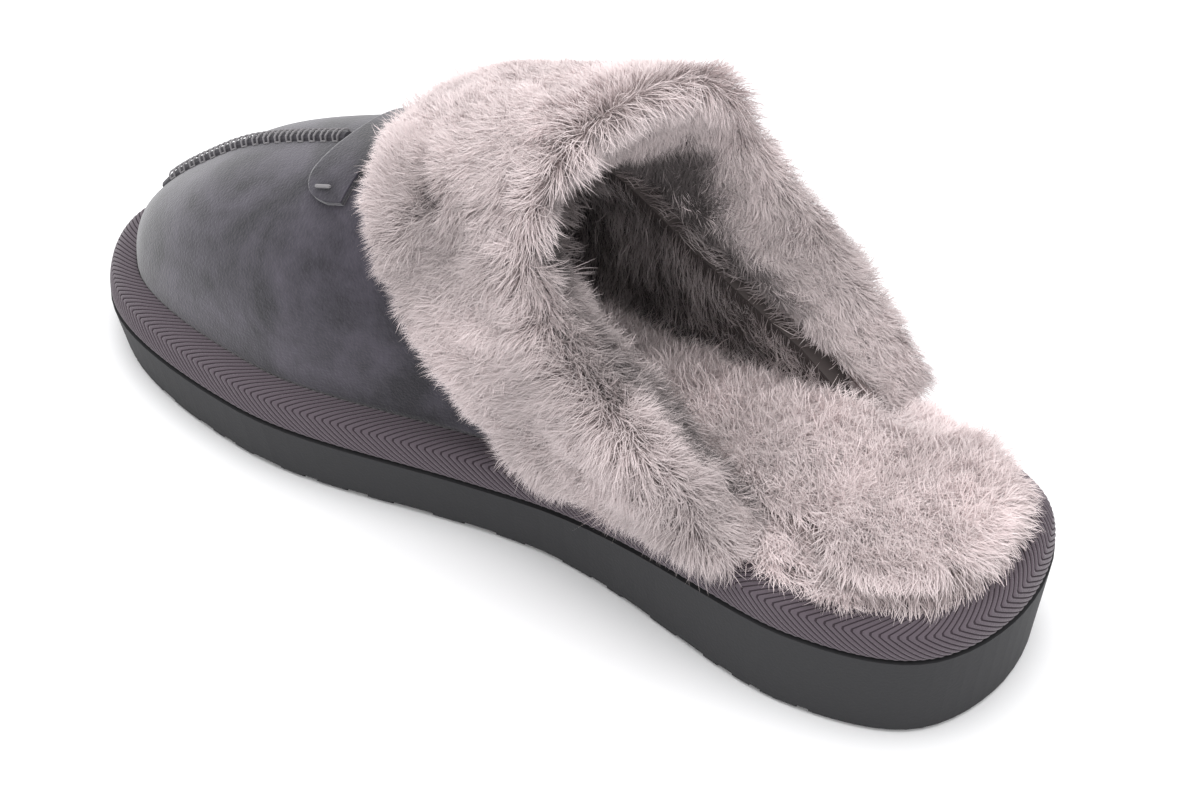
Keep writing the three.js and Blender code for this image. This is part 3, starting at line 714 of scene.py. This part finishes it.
def cuff_light(points, normals):
    """Lighter towards the front and the top, darker low down and in the crowns, with painted shade deeper
    inside the cuff and just inside the mouth.
    """
    facing_out = np.clip(outwardness(points, normals) + 0.5, 0, 1)
    # Painted shade: pile that faces inwards is darker the deeper it lies under the upper.
    light = 0.88 + 0.05 * waves(points, 24 * MM, 31) - 0.3 * (1 - facing_out) * depth_in(points)
    light += 0.2 * (points[:, 1] / cuff_high[1]).clip(0, 1) - 0.16 * (1 - points[:, 2] / cuff_high[2])
    light += 0.12 * np.clip((points[:, 2] - 0.75 * cuff_high[2]) / (0.2 * cuff_high[2]), 0, 1)
    for middle, radius, darker in CUFF_CROWNS:
        light -= darker * near(points, middle, radius)
    # Painted shade: the inward-facing pile inside the mouth is darkened towards SHADE_LIGHT.
    shade = np.clip(facing_in(points, normals) * 3 - 0.5, 0, 1)
    shade *= np.clip((SHADE_HALF_WIDTH - np.abs(points[:, 0])) / (3 * MM), 0, 1)
    shade *= np.clip((SHADE_TOP - points[:, 2]) / (5 * MM), 0, 1)
    return light + (SHADE_LIGHT - light) * shade


def footbed_light(points, normals):
    """Darker under the upper, as painted shade, and in the crowns."""
    light = 1.0 + 0.05 * waves(points, 24 * MM, 41) - 0.1 * depth_in(points)
    for middle, radius, darker in FOOTBED_CROWNS:
        light -= darker * near(points, middle, radius)
    return light


def lining_shade(points, normals):
    """Painted shade: darker than the rest of the pile, and darker the deeper it lies."""
    return 0.68 + 0.05 * waves(points, 24 * MM, 51) - 0.25 * depth_in(points)


# Where pile stops, or on the footbed thins out, along the foot, measured from the middle of the sole.
CUFF_ON_SUEDE = -8 * MM
FOOTBED_HIDDEN = 0
LINING_HIDDEN = 45 * MM


def cuff_wanted(points, normals):
    """Nothing grows where the cuff lies on the suede."""
    buried = (outwardness(points, normals) < -0.3) & (points[:, 1] > CUFF_ON_SUEDE)
    return np.where(buried, 0.0, 1.0)


def footbed_wanted(points, normals):
    """Nothing grows on the underside, and less deep in the toe."""
    return np.where(normals[:, 2] < -0.3, 0.0, np.where(points[:, 1] > FOOTBED_HIDDEN, 0.3, 1.0))


def pad_side_wanted(points, normals):
    """Only the sides of the pad, where the heel is open."""
    return np.where((np.abs(normals[:, 2]) < 0.6) & (points[:, 1] < MOUTH_BACK + 12 * MM), 1.0, 0.0)


def inset_of(points):
    """How far inside the sole's edge each point lies, measured straight across."""
    rim = sole_edge()
    half = (len(rim) + 2) // 2
    right, left = rim[:half], np.concatenate([rim[:1], rim[: half - 2 : -1]])
    to_right = np.interp(points[:, 1], right[:, 1], right[:, 0]) - points[:, 0]
    to_left = points[:, 0] - np.interp(points[:, 1], left[:, 1], left[:, 0])
    return np.minimum(to_right, to_left)


def corner_wanted(points, normals):
    """Only the two corners between the pad, the tape and the ends of the cuff."""
    inset = inset_of(points)
    beside = (inset > 8.2 * MM) & (inset < 20 * MM)
    behind = np.abs(points[:, 1] - MOUTH_BACK) < 18 * MM
    return np.where((normals[:, 2] > 0.9) & beside & behind, 1.0, 0.0)


def lining_wanted(points, normals):
    """Only the inside of the lining, and only as far in as can be seen."""
    inward = (normals[:, 0] * -np.sign(points[:, 0]) > 0.2) | (normals[:, 2] < -0.2)
    return np.where(inward & (points[:, 1] < LINING_HIDDEN), 1.0, 0.0)


# ---- Stage and plain pieces ------------------------------------------------------------------------------

make_camera()
make_stage()

foam_rubber = add_bump(plain("foam_rubber", linear(45, 45, 47), 0.7, specular=0.3), 1400, 0.3, 0.0003)
# Grey foam, made dark so that where it shows through gaps it reads as painted shade.
soft_foam = plain("soft_foam", linear(92, 88, 88), 0.95)
tape_cloth = plain("tape_cloth", linear(88, 79, 86), 0.85, sheen=0.25, specular=0.2)
add_bump(tape_cloth, 2600, 0.7, 0.0003)
# Painted shade in the valleys between the tape's ribs.
tape_valley_shade = plain("tape_valley_shade", linear(60, 53, 58), 0.95, specular=0.1)
board = plain("board", linear(96, 89, 87), 0.95)
suede = suede_material("suede", linear(32, 30, 37), linear(70, 66, 76))
piping_suede = plain("piping_suede", linear(64, 62, 67), 0.95, sheen=0.2, specular=0.1)
stiffener = plain("stiffener", linear(200, 196, 188), 0.9)
thread = plain("thread", linear(122, 119, 122), 0.75, sheen=0.3)
pile_base = plain("pile_base", linear(140, 127, 126), 0.95)
# The lining's base, painted dark as the shade inside the upper.
lining_shaded_base = plain("lining_shaded_base", linear(70, 63, 62), 0.95)

for node, material in {
    "outsole": foam_rubber,
    "midsole_foam": soft_foam,
    "insole_board": board,
    "footbed_cushion": pile_base,
    "toe_puff": stiffener,
    "topline_stay": stiffener,
    "vamp_lining": lining_shaded_base,
    "centre_seam_piping": piping_suede,
    "centre_seam_thread": thread,
    "bar_tack_right": thread,
    "bar_tack_left": thread,
}.items():
    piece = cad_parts[node]
    piece.data.materials.clear()
    piece.data.materials.append(material)

shade_smooth("outsole", 20)
shade_smooth("centre_seam_piping")
shade_smooth("centre_seam_thread", 70)

# ---- Suede and tape --------------------------------------------------------------------------------------

VAMP_SWELL = 0.5 * MM  # brings the suede up against the seam's piping

smooth_copy("vamp_left", "suede_vamp_left", "suede", suede, swell=VAMP_SWELL)
smooth_copy("vamp_right", "suede_vamp_right", "suede", suede, swell=VAMP_SWELL)
smooth_copy("instep_tab", "suede_instep_tab", "suede", suede)

tape = new_object("twill_tape", tape_mesh("twill_tape"), "twill_tape", "platform_tape")
tape.data.materials.append(tape_cloth)
tape.data.materials.append(tape_valley_shade)

# ---- Pile and what it grows from -------------------------------------------------------------------------

tones = tone_set("pile", linear(156, 141, 140), linear(232, 219, 219))

cuff_base = shrunken_copy("fur_cuff", "cuff_base", "pile", 2.2 * MM, cuff_depth, pile_base)
footbed_base = shrunken_copy(
    "footbed_fur", "footbed_base", "pile", 1.5 * MM, footbed_depth, pile_base, smoothing=4
)
push_rim(cuff_base.data)

cuff_style = {
    "length": 9 * MM,
    "lean": (0.45, 1.2),
    "tuft": 6 * MM,
    "gather": (0.08, 0.26),
    "spread": 0.85,
    "bend": 1.3,
    "contrast": 0.17,
    "droop": 0.15,
    "curl": 0.14 * MM,
    "width": 0.16 * MM,
    "seed": 5,
}
footbed_style = dict(cuff_style, length=8.5 * MM, lean=(0.85, 1.4), droop=0.3, seed=9)
edge_style = dict(cuff_style, length=8.5 * MM, lean=(0.7, 1.25), droop=0.25, seed=11)
lining_style = dict(cuff_style, length=7 * MM, lean=(0.4, 1.2), contrast=0.12, droop=0.1, seed=14)
under_style = dict(cuff_style, length=6.5 * MM, lean=(0.1, 0.8), spread=4, contrast=0.3, droop=0.0, seed=17)

# The long pile, and the shorter tangled pile under it.
for label, cuff_look, cuff_count, footbed_look, footbed_count in (
    ("pile", cuff_style, 255000, footbed_style, 115000),
    ("under_pile", under_style, 95000, under_style, 50000),
):
    pile(
        f"cuff_{label}", cuff_base.data, cuff_count, cuff_flow, cuff_look, tones,
        seed=101, wanted=cuff_wanted, light_at=cuff_light, trim_at=cuff_trim,
    )
    pile(
        f"footbed_{label}", footbed_base.data, footbed_count, footbed_flow, footbed_look, tones,
        seed=102, wanted=footbed_wanted, light_at=footbed_light,
    )

# The pile round the heel's edge grows from the sides of the pad, and fills the corners beside it.
for node, count in (("footbed_cushion", 80000), ("footbed_fur", 50000)):
    pile(
        f"{node}_edge_pile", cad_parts[node].data, count, edge_flow, edge_style, tones,
        seed=104, wanted=pad_side_wanted, light_at=footbed_light,
    )
for node, count in (("insole_board", 150000), ("midsole_foam", 250000)):
    pile(
        f"{node}_corner_pile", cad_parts[node].data, count, edge_flow, edge_style, tones,
        seed=105, wanted=corner_wanted, light_at=footbed_light,
    )

pile(
    "lining_pile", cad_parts["vamp_lining"].data, 60000, footbed_flow, lining_style, tones,
    seed=103, wanted=lining_wanted, light_at=lining_shade,
)
